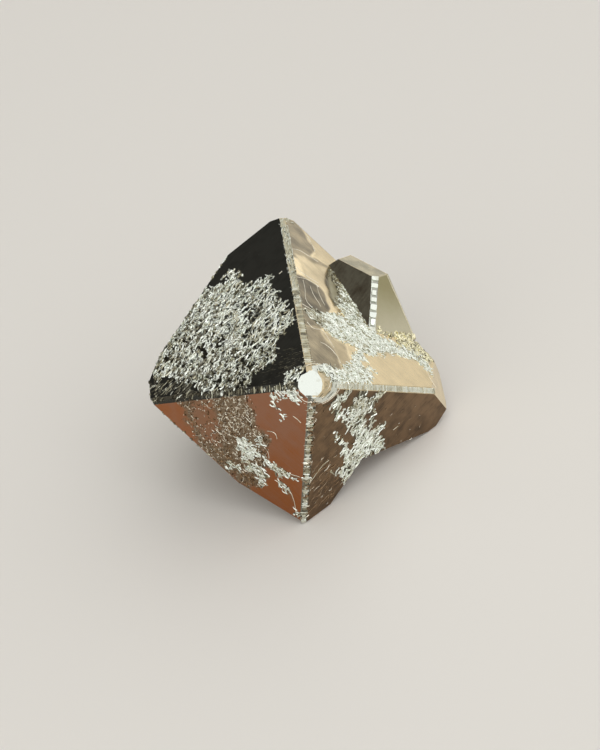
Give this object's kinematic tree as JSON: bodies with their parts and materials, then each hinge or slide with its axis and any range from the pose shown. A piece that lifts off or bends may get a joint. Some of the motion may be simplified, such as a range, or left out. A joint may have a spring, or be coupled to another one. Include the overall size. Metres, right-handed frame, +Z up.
{
  "type": "pyrite specimen",
  "caption": "Natural pyrite octahedron with bevelled edges and a small second crystal grown through its upper right edge.",
  "frame": {"origin": "bottom centre of the bounding box, on the surface that the crystal rests on", "axes": "+Z up from the resting face, -Y towards the crystal's front corner, +X to the right of someone who faces that corner"},
  "size_m": [0.0478, 0.0496, 0.0322],
  "materials": {
    "pyrite": "metallic natural crystal faces, polished in part and crusted with fine crystals in part, lightly tarnished"
  },
  "bodies": {
    "root": {"pyrite_crystal": "pyrite"}
  },
  "joints": []
}
